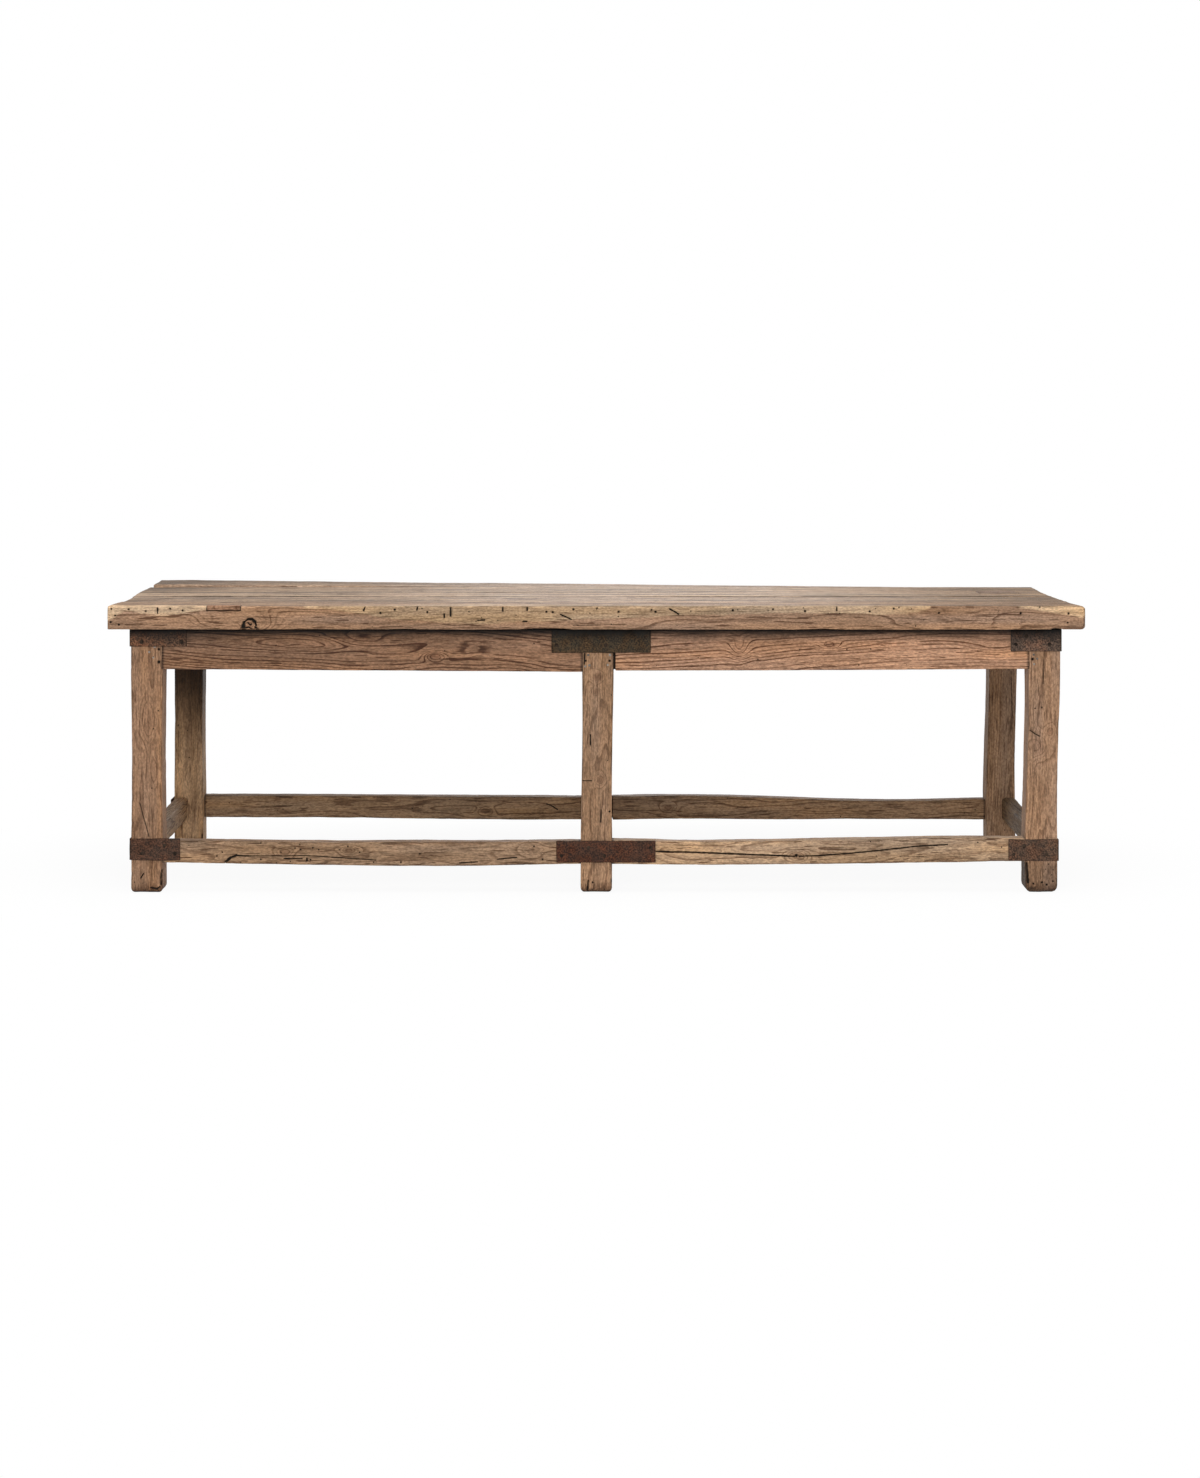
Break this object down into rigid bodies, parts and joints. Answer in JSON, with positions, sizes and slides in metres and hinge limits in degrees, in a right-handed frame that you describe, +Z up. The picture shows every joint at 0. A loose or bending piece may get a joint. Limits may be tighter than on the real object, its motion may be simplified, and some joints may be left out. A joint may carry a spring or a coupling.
{
  "type": "work table",
  "caption": "Long rustic work table: thick plank top on pegged aprons, square legs, low stretchers and nailed iron straps over the joints.",
  "frame": {"origin": "on the floor, under the middle of the top", "axes": "+X along the table to its right, +Y from the front to the rear, +Z up"},
  "size_m": [2.6395, 0.9, 0.7879],
  "materials": {
    "plank_timber": "worn, waxed old plank",
    "leg_timber": "worn, waxed old timber",
    "apron_timber": "worn, waxed old timber",
    "stretcher_timber": "foot-worn old timber",
    "patch_timber": "waxed repair block",
    "dowel_timber": "dark old peg",
    "strap_iron": "rusted, hammered wrought iron",
    "nail_iron": "rusted forged iron"
  },
  "bodies": {
    "root": {"apron_end_left": "apron_timber", "apron_end_right": "apron_timber", "apron_front_left": "apron_timber", "apron_front_right": "apron_timber", "apron_pegs": "dowel_timber", "apron_rear_left": "apron_timber", "apron_rear_right": "apron_timber", "cross_rail_middle": "apron_timber", "edge_patch": "patch_timber", "leg_front_left": "leg_timber", "leg_front_middle": "leg_timber", "leg_front_right": "leg_timber", "leg_rear_left": "leg_timber", "leg_rear_middle": "leg_timber", "leg_rear_right": "leg_timber", "plank_dowels": "dowel_timber", "plank_fourth": "plank_timber", "plank_front": "plank_timber", "plank_rear": "plank_timber", "plank_second": "plank_timber", "plank_third": "plank_timber", "seam_patch": "patch_timber", "strap_lower_front_left": "strap_iron", "strap_lower_front_middle": "strap_iron", "strap_lower_front_right": "strap_iron", "strap_lower_rear_left": "strap_iron", "strap_lower_rear_middle": "strap_iron", "strap_lower_rear_right": "strap_iron", "strap_nails": "nail_iron", "strap_upper_front_left": "strap_iron", "strap_upper_front_middle": "strap_iron", "strap_upper_front_right": "strap_iron", "strap_upper_rear_left": "strap_iron", "strap_upper_rear_middle": "strap_iron", "strap_upper_rear_right": "strap_iron", "stretcher_cross_middle": "stretcher_timber", "stretcher_end_left": "stretcher_timber", "stretcher_end_right": "stretcher_timber", "stretcher_front_left": "stretcher_timber", "stretcher_front_right": "stretcher_timber", "stretcher_rear_left": "stretcher_timber", "stretcher_rear_right": "stretcher_timber", "top_dowels": "dowel_timber"}
  },
  "joints": []
}
